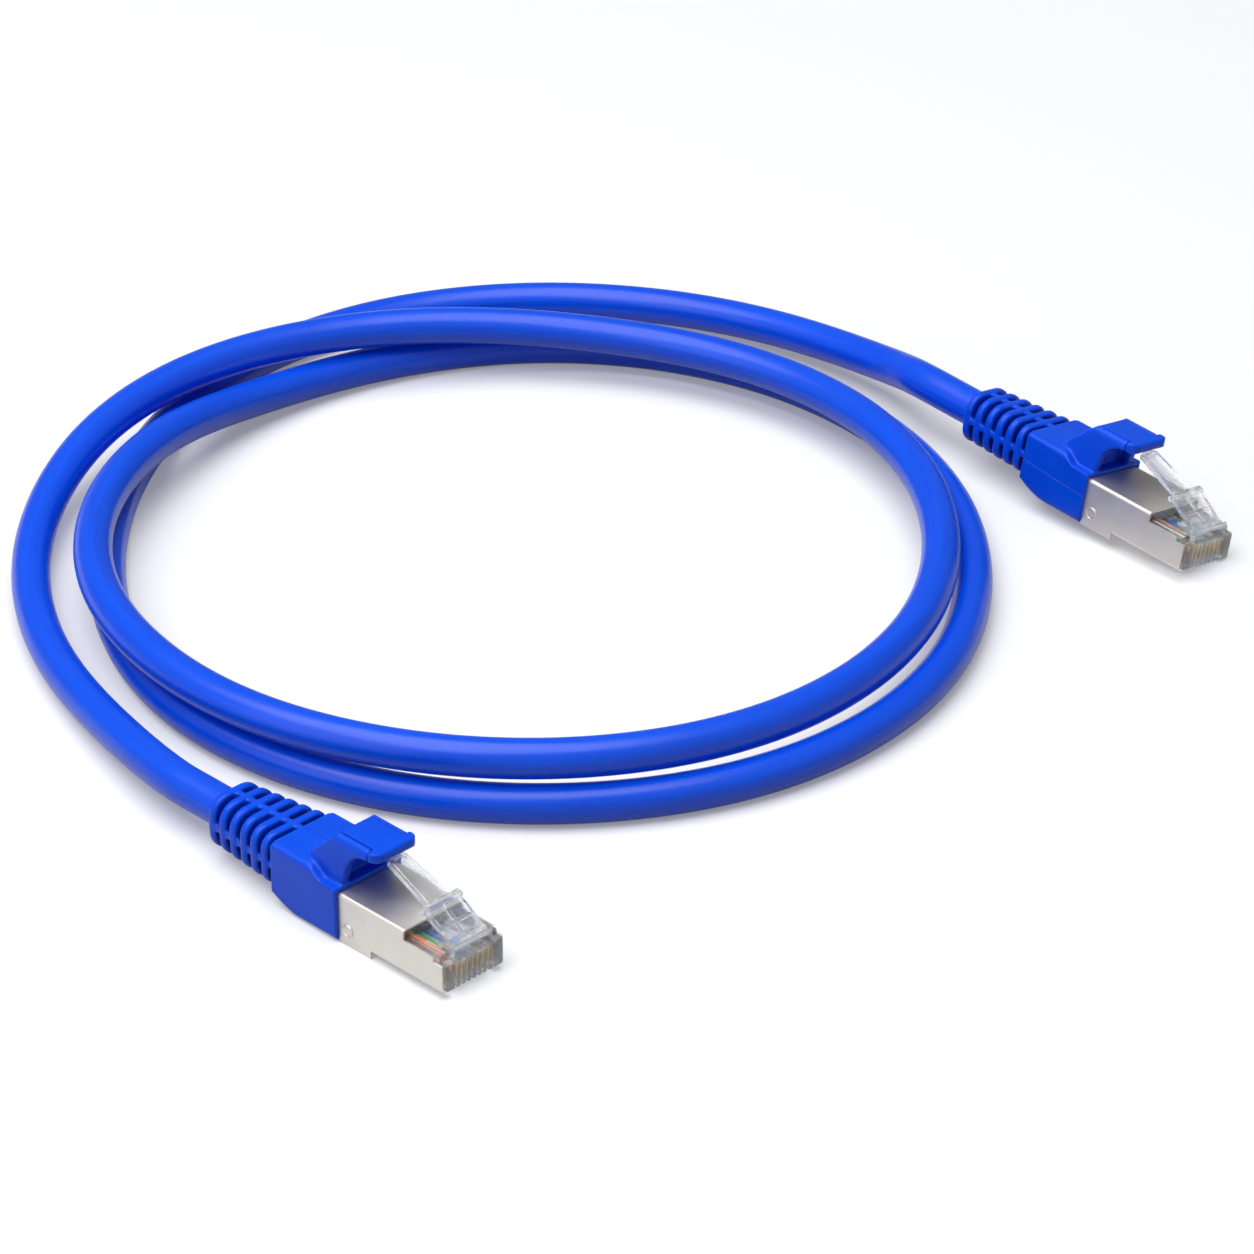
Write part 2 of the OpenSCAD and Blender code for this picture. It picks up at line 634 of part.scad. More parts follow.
// A blade has a foot in the slot's floor, a curved front edge and two teeth that pierce its wire
module contact_blades() {
  foot_z = body_z + 0.35;
  front_r = 1.4;
  under_wire = wire_z - wire_d / 2 - 0.1;
  blade = concat(
    [[contact_x[0], foot_z]],
    arc([contact_x[1] - front_r, foot_z + front_r], front_r, -90, 0, 6),
    [[contact_x[1], lip_z - 0.5], [wire_end_x + 0.6, lip_z - 0.5],
     [wire_end_x + 0.6, under_wire], [contact_x[0], under_wire]]
  );
  color(gold) for (i = [0:wire_count - 1])
    translate([0, row_y(i), 0]) across_y(contact_t / 2) polygon(blade);
}

module load_bar() {
  color(clear_plastic) difference() {
    block([bar_x[0], -bar_w / 2, wire_z - bar_h / 2], [bar_x[1], bar_w / 2, wire_z + bar_h / 2]);
    for (i = [0:wire_count - 1])
      rod_x(bar_x[0] - past, bar_x[1] + past, row_y(i), wire_z, wire_d / 2 + wire_gap);
  }
}

// A wire fans out from the core and then runs level through the load bar to its contact
module wire(i) {
  start = [core_end_x, row_y(i) * core_pitch / contact_pitch, cable_z + wire_rows[i % 2]];
  bend = [wire_fan_x, row_y(i), wire_z];
  run = bend - start;
  lean = acos(run[0] / norm(run));
  translate(bend) rotate([0, 0, 90]) sphere(r = wire_d / 2 + 0.06);
  translate(start) rotate(a = lean, v = cross([1, 0, 0], run)) rotate([0, 90, 0])
    cylinder(h = norm(run), r = wire_d / 2);
  rod_x(wire_fan_x, wire_end_x, bend[1], wire_z, wire_d / 2);
}

module wire_pair(tint, first, second) {
  color(tint) wire(first);
  color(tint * 0.4 + [0.6, 0.6, 0.6]) wire(second);
}

// The ferrule closes the shield on the cable, and its yoke meets the back of the shield
module crimp_ferrule() {
  arm_y = ferrule_bore_r + 0.1;
  color(nickel) difference() {
    union() {
      rod_x(ferrule_x[0], ferrule_x[1], 0, cable_z, ferrule_r);
      for (side = [-1, 1])
        translate([0, side * arm_y, 0])
          block([ferrule_x[1] - 1, -0.15, cable_z + 0.2], [-shield_tuck - yoke_t / 2, 0.15, cable_z + 1.2]);
      block(
        [-shield_tuck - yoke_t, -inner_w / 2, shield_z + 0.5],
        [-shield_tuck, inner_w / 2, shield_top - 0.6]);
    }
    rod_x(ferrule_x[0] - past, ferrule_x[1] + past, 0, cable_z, ferrule_bore_r);
    block([-shield_tuck - yoke_t - past, -4, shield_z + 1.8], [-shield_tuck + past, 4, cable_z - 0.1]);
  }
}

module pair_orange() { wire_pair([0.95, 0.45, 0.1], 0, 1); }
module pair_green() { wire_pair([0.15, 0.6, 0.25], 2, 5); }
module pair_blue() { wire_pair([0.1, 0.3, 0.8], 3, 4); }
module pair_brown() { wire_pair([0.45, 0.25, 0.12], 6, 7); }

jacket();
screened_core();

at_a() boot();  // boot_a
at_a() press_tab();  // press_tab_a
at_a() plug_shield();  // plug_shield_a
at_a() plug_body();  // plug_body_a
at_a() latch();  // latch_a
at_a() contact_blades();  // contacts_a
at_a() load_bar();  // load_bar_a
at_a() pair_orange();  // pair_orange_a
at_a() pair_green();  // pair_green_a
at_a() pair_blue();  // pair_blue_a
at_a() pair_brown();  // pair_brown_a
at_a() crimp_ferrule();  // crimp_ferrule_a

at_b() boot();  // boot_b
at_b() press_tab();  // press_tab_b
at_b() plug_shield();  // plug_shield_b
at_b() plug_body();  // plug_body_b
at_b() latch();  // latch_b
at_b() contact_blades();  // contacts_b
at_b() load_bar();  // load_bar_b
at_b() pair_orange();  // pair_orange_b
at_b() pair_green();  // pair_green_b
at_b() pair_blue();  // pair_blue_b
at_b() pair_brown();  // pair_brown_b
at_b() crimp_ferrule();  // crimp_ferrule_b
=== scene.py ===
import bpy, bmesh, math
from mathutils import Matrix, Vector


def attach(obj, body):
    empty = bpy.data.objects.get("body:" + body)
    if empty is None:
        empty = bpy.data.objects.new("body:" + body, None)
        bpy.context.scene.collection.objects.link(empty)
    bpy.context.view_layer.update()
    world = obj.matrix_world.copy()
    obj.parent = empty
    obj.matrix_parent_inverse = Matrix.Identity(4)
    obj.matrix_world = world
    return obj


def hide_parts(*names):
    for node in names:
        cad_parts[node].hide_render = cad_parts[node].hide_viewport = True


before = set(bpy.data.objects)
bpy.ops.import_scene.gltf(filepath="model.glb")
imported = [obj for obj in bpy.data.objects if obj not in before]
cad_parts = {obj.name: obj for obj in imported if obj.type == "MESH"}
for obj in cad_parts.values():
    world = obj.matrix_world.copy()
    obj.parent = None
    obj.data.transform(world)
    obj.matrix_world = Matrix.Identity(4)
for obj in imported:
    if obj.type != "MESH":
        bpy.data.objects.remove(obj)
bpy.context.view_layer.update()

# Table top, light and camera
# A seamless white sweep under one broad overhead softbox and a low fill, as small goods are
# lit for a catalogue. The camera looks down at the cable from in front with a long lens.
TABLE_SIDE = 6
TABLE_AT = (0, 1, -0.00002)
# Strength of the table's own light, and how much less of it shows in a reflection
TABLE_GLOW = 0.235
GLOW_NOT_MIRRORED = 0.1
# Brightness of the room: mirrored from in front and from behind, and as light on the cable
ROOM_FRONT, ROOM_BEHIND, ROOM_LIGHT = 0.7, 0.16, 0.2
# Name, place, aim, width in metres, power in watts, tint
LAMPS = [
    ("softbox", (-0.25, -0.1, 1.1), (0.0, 0.03, 0.0), 1.2, 17.2, "#fffdf8"),
    ("fill", (-0.85, -0.6, 0.5), (0.0, 0.0, 0.0), 0.8, 2.3, "#f4f7ff"),
]
LENS_MM, SENSOR_MM = 147.4, 36
CAMERA_AT = (-0.0175, -0.6765, 0.4035)
CAMERA_TILT = math.radians(60)
NEAR, FAR = 0.05, 20


def srgb(code):
    """The linear colour of an sRGB hex code."""
    parts = [int(code[i:i + 2], 16) / 255 for i in (1, 3, 5)]
    return [p / 12.92 if p <= 0.04045 else ((p + 0.055) / 1.055) ** 2.4 for p in parts] + [1.0]


def add(tree, kind, inputs=None, **settings):
    """A new node with its settings, its values, and links from the sockets given as values."""
    node = tree.nodes.new(kind)
    for name, value in settings.items():
        setattr(node, name, value)
    for name, value in (inputs or {}).items():
        if isinstance(value, bpy.types.NodeSocket):
            tree.links.new(value, node.inputs[name])
        else:
            node.inputs[name].default_value = value
    return node


def maths(tree, operation, *values, **settings):
    """The result of a Math node on these sockets and numbers."""
    return add(tree, "ShaderNodeMath", dict(enumerate(values)), operation=operation, **settings).outputs[0]


def mapped(tree, value, low, high, start=0.0, end=1.0, **settings):
    """The value, brought from between start and end to between low and high."""
    inputs = {0: value, 1: start, 2: end, 3: low, 4: high}
    return add(tree, "ShaderNodeMapRange", inputs, **settings).outputs[0]


def new_material(name):
    """A material with an empty tree, and the tree."""
    material = bpy.data.materials.new(name)
    material.use_nodes = True
    material.node_tree.nodes.clear()
    return material, material.node_tree


bpy.ops.object.select_all(action="DESELECT")
bpy.ops.mesh.primitive_plane_add(size=TABLE_SIDE, location=TABLE_AT)
table = bpy.context.object
table.name = "table_top"
bpy.ops.object.transform_apply(location=True, rotation=True, scale=True)

# Matt white laminate: its own shade carries the object's shadow, and a little light of its
# own for camera, mirror and glass rays brings the bare table up to paper white. It throws
# less light back up than it shows, as a table under a flagged softbox does
paper, tree = new_material("white_sweep")
rays = add(tree, "ShaderNodeLightPath").outputs
direct = maths(tree, "ADD", rays["Is Camera Ray"], rays["Is Glossy Ray"])
seen = maths(tree, "ADD", direct, rays["Is Transmission Ray"], use_clamp=True)
glow_seen = maths(tree, "MULTIPLY", seen, TABLE_GLOW)
lift = maths(tree, "MULTIPLY_ADD", rays["Is Glossy Ray"], -GLOW_NOT_MIRRORED, glow_seen)
tone = add(tree, "ShaderNodeMix", {"Factor": seen, "A": srgb("#85878c"), "B": srgb("#d6d8dd")},
           data_type="RGBA")
shade = add(tree, "ShaderNodeBsdfDiffuse", {"Color": tone.outputs["Result"]})
glow = add(tree, "ShaderNodeEmission", {"Color": srgb("#fdfdff"), "Strength": lift})
both = add(tree, "ShaderNodeAddShader", {0: shade.outputs[0], 1: glow.outputs[0]})
add(tree, "ShaderNodeOutputMaterial", {"Surface": both.outputs[0]})
table.data.materials.append(paper)

# The room is white to the eye and through the clear plastic. The metal mirrors a room that is
# bright in front and dark behind, and as light on the cable the room is dim
world = bpy.data.worlds.new("white_room")
bpy.context.scene.world = world
world.use_nodes = True
tree = world.node_tree
tree.nodes.clear()
rays = add(tree, "ShaderNodeLightPath").outputs
through = maths(tree, "MAXIMUM", rays["Is Camera Ray"], rays["Is Transmission Ray"])
way = add(tree, "ShaderNodeTexCoord")
depth = add(tree, "ShaderNodeSeparateXYZ", {0: way.outputs["Generated"]})
front = mapped(tree, depth.outputs["Y"], ROOM_BEHIND, ROOM_FRONT, start=0.7, end=-0.3)
mirrored = maths(tree, "MULTIPLY", rays["Is Glossy Ray"], front)
level = maths(tree, "MAXIMUM", maths(tree, "MAXIMUM", through, mirrored), ROOM_LIGHT)
room = add(tree, "ShaderNodeBackground", {"Color": srgb("#fbfcff"), "Strength": level})
add(tree, "ShaderNodeOutputWorld", {"Surface": room.outputs[0]})

for name, place, aim, width, watts, tint in LAMPS:
    lamp = bpy.data.lights.new(name, "AREA")
    lamp.shape = "SQUARE"
    lamp.size = width
    lamp.energy = watts
    lamp.color = srgb(tint)[:3]
    holder = bpy.data.objects.new(name, lamp)
    bpy.context.scene.collection.objects.link(holder)
    holder.location = place
    holder.rotation_euler = (Vector(aim) - Vector(place)).to_track_quat("-Z", "Y").to_euler()

lens = bpy.data.cameras.new("camera")
lens.lens = LENS_MM
lens.sensor_width = SENSOR_MM
lens.clip_start = NEAR
lens.clip_end = FAR
camera = bpy.data.objects.new("camera", lens)
bpy.context.scene.collection.objects.link(camera)
camera.location = CAMERA_AT
camera.rotation_euler = (CAMERA_TILT, 0, 0)
bpy.context.scene.camera = camera
bpy.context.scene.view_settings.view_transform = "Standard"


# Cable jacket
# The outer sheath of soft PVC, extruded over the screened pairs in one length and pigmented
# right through. It lies in two loose turns on the table and runs into a boot at each end.
MM = 1000
CABLE_R = 0.0031
JACKET_WALL = 0.00065
# Sides round the jacket's mesh, and steps along the cable's
JACKET_SIDES = 28
RINGS = 620
# The height of one layer of cable, with a little play
LAYER = 0.0068
# How each plug is turned, and how the second is tipped and rolled
YAW_A, YAW_B, PITCH_B, ROLL_B = (math.radians(a) for a in (-45, -48, 3, -9))
BOOT_L = 0.02936
# The cable's middle over a plug's underside, and where the cable leaves each boot
CABLE_Z = 0.006
EXIT_A = Vector((-0.075, -0.042, CABLE_Z))
EXIT_B = Vector((0.0414, 0.0782, 0.00875))
# The jacket ends this far behind the boot's front. Outside the boot it runs straight out to
# points at these distances
CUT_BACK = 0.0095
LEAD_OUT = (0.008, 0.016)
# x and y in millimetres, and the height in layers: 0 on the table, 1 on another turn
LAY = [
    (-103, -1.5, 0), (-111.5, 22.5, 0), (-113.5, 47, 0.2), (-107, 71, 0.8), (-92, 91, 1.08),
    (-71, 104.5, 1.06), (-46.5, 110, 0.98), (-20.5, 108, 0.8), (2.5, 99, 0.76), (20.5, 82, 0.76),
    (31, 59.5, 0.76), (33.5, 34, 0.75), (28.5, 9, 0.75), (15.5, -12.5, 0.8), (-4, -28, 0.9),
    (-28.5, -34.5, 0.97), (-53.5, -31.5, 1), (-76, -20, 1), (-92.5, -1, 1.01), (-102, 22, 1.02),
    (-102.5, 47, 1), (-94.5, 70.5, 0.92), (-81, 92, 0.16), (-62, 107.5, 0), (-37.5, 115.5, 0),
    (-12, 113, 0), (10.5, 101, 0), (27, 82, 0), (36.5, 58.5, 0), (38.5, 33, 0),
    (34, 8, 0), (21.5, -13.5, 0), (2, -29, 0), (-22, -36, 0), (-47.5, -34.5, 0),
    (-70.5, -24, 0), (-88, -6.5, 0), (-98, 16.5, 0), (-101.5, 41, 0), (-100, 66.5, 0),
    (-93, 91, 0), (-80, 112, 0), (-60, 127, 0), (-35.5, 133, 0), (-10.5, 129.5, 0.04),
    (11, 117.5, 0.2), (28.3, 98.7, 0.5),
]
away_a = Matrix.Rotation(YAW_A, 3, "Z") @ Vector((-1, 0, 0))
away_b = Matrix.Rotation(YAW_B, 3, "Z") @ Matrix.Rotation(PITCH_B, 3, "Y") @ Vector((-1, 0, 0))
route = [EXIT_A - (BOOT_L - CUT_BACK) * away_a, EXIT_A]
route += [EXIT_A + s * away_a for s in LEAD_OUT]
route += [Vector((x / MM, y / MM, CABLE_R + layers * LAYER)) for x, y, layers in LAY]
route += [EXIT_B + s * away_b for s in reversed(LEAD_OUT)]
route += [EXIT_B, EXIT_B - (BOOT_L - CUT_BACK) * away_b]
# One more point past each end makes the curve reach the first and the last
held = [2 * route[0] - route[1]] + route + [2 * route[-1] - route[-2]]


def on_route(u):
    """The point at u of the cubic B-spline that the held points steer. It is the cable's middle
    line, and u counts the route's points."""
    i = min(int(u), len(route) - 2)
    t = u - i
    a, b, c, d = held[i:i + 4]
    return ((1 - t) ** 3 * a + (3 * t ** 3 - 6 * t ** 2 + 4) * b
            + (-3 * t ** 3 + 3 * t ** 2 + 3 * t + 1) * c + t ** 3 * d) / 6


line = [on_route((len(route) - 1) * i / RINGS) for i in range(RINGS + 1)]
run = [0.0]
for a, b in zip(line, line[1:]):
    run.append(run[-1] + (b - a).length)


def swept(name, radii, sides):
    """A tube of an outer and an inner radius, or a rod of one, along the middle line. Its UV map
    holds the run along the cable and the turn round it, both in millimetres."""
    shell = bmesh.new()
    uv = shell.loops.layers.uv.new("run_and_turn")
    turns = [2 * math.pi * k / sides for k in range(sides + 1)]
    skins = []
    for radius in radii:
        rings = []
        for i, point in enumerate(line):
            way = (line[min(i + 1, RINGS)] - line[max(i - 1, 0)]).normalized()
            side = way.cross(Vector((0, 0, 1))).normalized()
            up = side.cross(way)
            rings.append([shell.verts.new(point + radius * (math.cos(turn) * up + math.sin(turn) * side))
                          for turn in turns[:-1]])
        skins.append(rings)
    for radius, rings in zip(radii, skins):
        for i in range(RINGS):
            for k in range(sides):
                j = (k + 1) % sides
                face = shell.faces.new([rings[i][k], rings[i + 1][k], rings[i + 1][j], rings[i][j]])
                corners = [(i, k), (i + 1, k), (i + 1, k + 1), (i, k + 1)]
                for loop, (row, column) in zip(face.loops, corners):
                    loop[uv].uv = (run[row] * MM, turns[column] * radius * MM)
    for end in (0, RINGS):
        if len(skins) == 1:
            shell.faces.new(skins[0][end])
            continue
        outer, inner = skins[0][end], skins[1][end]
        for k in range(sides):
            j = (k + 1) % sides
            shell.faces.new([outer[k], outer[j], inner[j], inner[k]])
    bmesh.ops.recalc_face_normals(shell, faces=shell.faces)
    mesh = bpy.data.meshes.new(name)
    shell.to_mesh(mesh)
    shell.free()
    mesh.shade_smooth()
    piece = bpy.data.objects.new(name, mesh)
    bpy.context.scene.collection.objects.link(piece)
    return piece


def stretched(tree, where, scale):
    """The pattern's coordinates, scaled apart along each axis."""
    return add(tree, "ShaderNodeMapping", {"Vector": where, "Scale": scale}).outputs[0]


def noise(tree, where, scale, detail):
    """A cloudy pattern between 0 and 1. Its clouds measure about 1 / scale in the unit of where."""
    return add(tree, "ShaderNodeTexNoise", {"Vector": where, "Scale": scale, "Detail": detail}).outputs[0]


def two_tone(tree, value, first, second, start=0.0, end=1.0):
    """A colour that goes from the first to the second as the value goes from start to end."""
    ramp = add(tree, "ShaderNodeValToRGB", {"Fac": value})
    for stop, position, code in zip(ramp.color_ramp.elements, (start, end), (first, second)):
        stop.position = position
        stop.color = srgb(code)
    return ramp.outputs[0]


def bumped(tree, height, strength, distance, over=None):
    """The normal of a surface with this height on it, over another such normal if given."""
    inputs = {"Height": height, "Strength": strength, "Distance": distance}
    if over:
        inputs["Normal"] = over
    return add(tree, "ShaderNodeBump", inputs).outputs[0]


def surfaced(tree, inputs):
    """The end of a material: its shader, with these inputs, on its output."""
    shader = add(tree, "ShaderNodeBsdfPrincipled", inputs)
    add(tree, "ShaderNodeOutputMaterial", {"Surface": shader.outputs[0]})


jacket = swept("cable_jacket", (CABLE_R, CABLE_R - JACKET_WALL), JACKET_SIDES)
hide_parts("jacket")
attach(jacket, "cable")

# Soft PVC, extruded: satin, with a faint ripple every few millimetres where the pairs lie
# twisted underneath, and with fine streaks of shine drawn out along the run
sheath, tree = new_material("extruded_soft_pvc")
where = add(tree, "ShaderNodeUVMap", uv_map="run_and_turn").outputs[0]
tone = noise(tree, stretched(tree, where, (0.04, 0.5, 1)), scale=1.0, detail=2)
streaks = noise(tree, stretched(tree, where, (0.06, 2.2, 1)), scale=1.0, detail=3)
ripple = noise(tree, stretched(tree, where, (0.12, 0.1, 1)), scale=1.0, detail=1)
rippled = bumped(tree, ripple, strength=0.3, distance=0.0003)
surfaced(tree, {
    "Base Color": two_tone(tree, tone, "#004ade", "#0052ea", 0.3, 0.7),
    "Roughness": mapped(tree, streaks, 0.25, 0.35, start=0.3, end=0.7),
    "IOR": 1.53,
    "Specular IOR Level": 0.34,
    "Normal": bumped(tree, streaks, strength=0.06, distance=0.00004, over=rippled)})
jacket.data.materials.append(sheath)


# Screened core
# Four twisted pairs in a wrap of aluminium foil with a drain wire, laid up together and
# pulled through the extruder. It ends inside each ferrule, where the wires fan out.
CORE_R = 0.0023
CORE_SIDES = 16
TAPE_SLANT = 0.4
core = swept("screened_core_wrap", (CORE_R,), CORE_SIDES)
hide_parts("screened_core")
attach(core, "cable")

# Aluminium foil, spiral-wrapped: bright, with the edge of the tape crossing every 6 mm
foil, tree = new_material("wrapped_aluminium_foil")
where = add(tree, "ShaderNodeUVMap", uv_map="run_and_turn").outputs[0]
slant = add(tree, "ShaderNodeMapping", {"Vector": where, "Rotation": (0, 0, TAPE_SLANT)})
tape = add(tree, "ShaderNodeTexWave", {"Vector": slant.outputs[0], "Scale": 0.05, "Distortion": 0.3},
           wave_profile="SAW")
crease = noise(tree, where, scale=1.2, detail=3)
edges = bumped(tree, tape.outputs[0], strength=0.5, distance=0.00005)
surfaced(tree, {
    "Base Color": two_tone(tree, crease, "#b9bcc2", "#d5d7da"),
    "Metallic": 1.0,
    "Roughness": 0.3,
    "Normal": bumped(tree, crease, strength=0.4, distance=0.0001, over=edges)})
core.data.materials.append(foil)


# Boots
# A soft PVC boot is moulded over each end of the cable: a tapered block that grips the shield,
# six strain-relief rings joined by webs round the jacket, and a hood over the latch.

# A plug's own frame starts in the middle of the boot's front, level with the plug's underside
FROM_EXIT = Matrix.Translation((BOOT_L, 0, -CABLE_Z))
AT_A = Matrix.Translation(EXIT_A) @ Matrix.Rotation(YAW_A, 4, "Z") @ FROM_EXIT
AT_B = (Matrix.Translation(EXIT_B) @ Matrix.Rotation(YAW_B, 4, "Z") @ Matrix.Rotation(PITCH_B, 4, "Y")
        @ Matrix.Rotation(ROLL_B, 4, "X") @ FROM_EXIT)
# Corners closer than this are one, and faces that turn by less than this angle are one
SAME_PLACE = 0.000002
SAME_FLAT = math.radians(0.4)
# Only edges sharper than this are rounded
SHARP = math.radians(35)


def from_solid(node, name, merge=SAME_PLACE):
    """A copy of a solid at end A, brought back into the plug's own frame, with corners closer
    than the merge distance joined and its flat faces whole."""
    piece = bpy.data.objects.new(name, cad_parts[node].data.copy())
    bpy.context.scene.collection.objects.link(piece)
    piece.data.transform(AT_A.inverted())
    piece.data.materials.clear()
    loose = bmesh.new()
    loose.from_mesh(piece.data)
    bmesh.ops.remove_doubles(loose, verts=loose.verts, dist=merge)
    bmesh.ops.dissolve_degenerate(loose, edges=loose.edges, dist=SAME_PLACE)
    bmesh.ops.dissolve_limit(loose, angle_limit=SAME_FLAT, verts=loose.verts, edges=loose.edges)
    loose.to_mesh(piece.data)
    loose.free()
    return piece


def finish_with(piece, kind, **settings):
    """Adds a modifier to the piece and applies it."""
    bpy.ops.object.select_all(action="DESELECT")
    bpy.context.view_layer.objects.active = piece
    piece.select_set(True)
    modifier = piece.modifiers.new(kind.lower(), kind)
    for setting, value in settings.items():
        setattr(modifier, setting, value)
    bpy.ops.object.modifier_apply(modifier=modifier.name)


def soften(piece, skin, passes):
    """Rebuilds the piece as one even skin of this mesh size, and eases its edges."""
    finish_with(piece, "REMESH", mode="VOXEL", voxel_size=skin, use_smooth_shade=True)
    finish_with(piece, "SMOOTH", factor=0.5, iterations=passes)


def shade_flats(piece):
    """Shades the large faces flat and what lies between them smooth."""
    piece.data.shade_smooth()
    finish_with(piece, "WEIGHTED_NORMAL", weight=50)


def round_edges(piece, radius):
    """Rounds the piece's edges. Where its shortest edge is under two radii, Blender holds the
    radius back to half of that edge on the whole piece."""
    finish_with(piece, "BEVEL", width=radius, segments=2, limit_method="ANGLE", angle_limit=SHARP,
                miter_outer="MITER_SHARP")
    shade_flats(piece)


def fit_both_ends(piece, node, materials, bodies=("cable", "cable")):
    """Puts a copy of the piece, with its own mesh, at each plug, and takes the pattern piece away.
    Each vertex keeps its place in the plug, in millimetres, for the patterns of its material."""
    places = [v.co * MM for v in piece.data.vertices]
    kept = piece.data.attributes.new("in_plug", "FLOAT_VECTOR", "POINT")
    kept.data.foreach_set("vector", [c for place in places for c in place])
    for end, at_plug, body in (("a", AT_A, bodies[0]), ("b", AT_B, bodies[1])):
        copy = bpy.data.objects.new(f"{piece.name}_{end}", piece.data.copy())
        bpy.context.scene.collection.objects.link(copy)
        copy.data.transform(at_plug)
        for material in materials:
            copy.data.materials.append(material)
        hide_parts(f"{node}_{end}")
        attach(copy, body)
    bpy.data.objects.remove(piece)


def plug_material(name):
    """A material, its tree, and the place in the plug, in millimetres, that its patterns use."""
    material, tree = new_material(name)
    return material, tree, add(tree, "ShaderNodeAttribute", attribute_name="in_plug").outputs["Vector"]


boot = from_solid("boot_a", "overmoulded_boot")
soften(boot, skin=0.0002, passes=3)

# Soft PVC, injection moulded: the blue of the jacket, satin, with the faint orange peel of a
# blasted mould and a tone that drifts a little. Deep between the rings and under the hood the
# blue is darkened to navy by an occlusion node: painted shade
# Reach of the painted shade: how far the occlusion node looks for nearby walls of the piece
PAINTED_SHADE_REACH = 0.0016
moulded, tree, where = plug_material("moulded_soft_pvc")
tone = noise(tree, where, scale=0.12, detail=2)
peel = noise(tree, where, scale=3.0, detail=3)
painted_shade_ao = add(tree, "ShaderNodeAmbientOcclusion", {"Distance": PAINTED_SHADE_REACH}, samples=6, only_local=True)
# The blue, with painted shade mixed in towards navy where walls of the piece stand near
blue_with_painted_shade = add(tree, "ShaderNodeMix", {
    "Factor": mapped(tree, painted_shade_ao.outputs["AO"], 0.0, 1.0, start=0.25, end=0.8),
    "A": srgb("#001a7a"),
    "B": two_tone(tree, tone, "#0048da", "#0050e6", 0.3, 0.7)}, data_type="RGBA")

# Parting lines of the mould, in millimetres in the plug: one along each side, which falls to
# the front, and one along the top behind the hood, both on the block alone
SIDE_LINE_Z, SIDE_LINE_FALL = 5.0, 0.045
SIDES_BEYOND_Y = 5.6
TOP_LINE_Y = 0.4
HOOD_REAR_X, TOP_ABOVE_Z = -6.8, 9.8
BLOCK_REAR_X = -14.0
LINE_HALF, LINE_FADED = 0.05, 0.16
# Added to the distance from a line where the line isn't drawn
AWAY = 1.0
x, y, z = add(tree, "ShaderNodeSeparateXYZ", {0: where}).outputs
off_level = maths(tree, "SUBTRACT", maths(tree, "MULTIPLY_ADD", x, SIDE_LINE_FALL, z), SIDE_LINE_Z)
not_side = maths(tree, "LESS_THAN", maths(tree, "ABSOLUTE", y), SIDES_BEYOND_Y)
off_side = maths(tree, "MULTIPLY_ADD", not_side, AWAY, maths(tree, "ABSOLUTE", off_level))
off_middle = maths(tree, "SUBTRACT", y, TOP_LINE_Y)
in_hood = maths(tree, "GREATER_THAN", x, HOOD_REAR_X)
not_top = maths(tree, "MAXIMUM", in_hood, maths(tree, "LESS_THAN", z, TOP_ABOVE_Z))
off_top = maths(tree, "MULTIPLY_ADD", not_top, AWAY, maths(tree, "ABSOLUTE", off_middle))
on_rings = maths(tree, "LESS_THAN", x, BLOCK_REAR_X)
off_line = maths(tree, "MULTIPLY_ADD", on_rings, AWAY, maths(tree, "MINIMUM", off_side, off_top))
height = mapped(tree, off_line, 0.0, 1.0, LINE_HALF, LINE_FADED, interpolation_type="SMOOTHSTEP")
peeled = bumped(tree, peel, strength=0.15, distance=0.00004)
surfaced(tree, {
    "Base Color": blue_with_painted_shade.outputs["Result"],
    "Roughness": mapped(tree, peel, 0.26, 0.36),
    "IOR": 1.53,
    "Specular IOR Level": 0.21,
    "Normal": bumped(tree, height, strength=1.0, distance=0.00012, over=peeled)})
fit_both_ends(boot, "boot", [moulded])


# Press tabs
# A broad head in front of each hood, on a tongue that flexes in the hood's slot. A thumb
# pushes it down on the end of the latch. Moulded in the same PVC as the boot.
tab = from_solid("press_tab_a", "moulded_press_tab")
soften(tab, skin=0.00016, passes=4)
fit_both_ends(tab, "press_tab", [moulded], ("tab_a", "tab_b"))


# Shields
# Each is stamped from one sheet of nickel-plated brass and folded round the clear body: a
# short plate on top, long sides that end in flaps below, and open to the contacts in front.
shield = from_solid("plug_shield_a", "folded_shield")
round_edges(shield, radius=0.000025)

# A ring punched from inside low on each side, just in front of the boot, locks the fold
RING_X, RING_Z = 0.0019, 0.0026
RING_R = 0.00092
RING_BEAD = 0.00014
RING_SUNK = 0.00005
ring_y = max(v.co.y for v in shield.data.vertices) - RING_SUNK
for side in (-1, 1):
    bpy.ops.object.select_all(action="DESELECT")
    bpy.ops.mesh.primitive_torus_add(
        major_segments=48, minor_segments=14, major_radius=RING_R, minor_radius=RING_BEAD,
        location=(RING_X, side * ring_y, RING_Z), rotation=(math.radians(90), 0, 0))
    bead = bpy.context.object
    finish_with(shield, "BOOLEAN", operation="UNION", solver="EXACT", object=bead)
    bpy.data.objects.remove(bead)
shade_flats(shield)

# Nickel plate on rolled brass: bright but not a mirror, with fine rolling lines along the
# plug, a warm grey tone that drifts a little, and dull handling marks
nickel, tree, where = plug_material("nickel_plated_sheet")
rolled = noise(tree, stretched(tree, where, (0.15, 9, 9)), scale=1.0, detail=4)
cloud = noise(tree, where, scale=0.25, detail=3)
surfaced(tree, {
    "Base Color": two_tone(tree, cloud, "#d4cfc7", "#dad5ce", 0.3, 0.7),
    "Metallic": 1.0,
    "Roughness": mapped(tree, cloud, 0.43, 0.5),
    "Normal": bumped(tree, rolled, strength=0.12, distance=0.00002)})
fit_both_ends(shield, "plug_shield", [nickel])


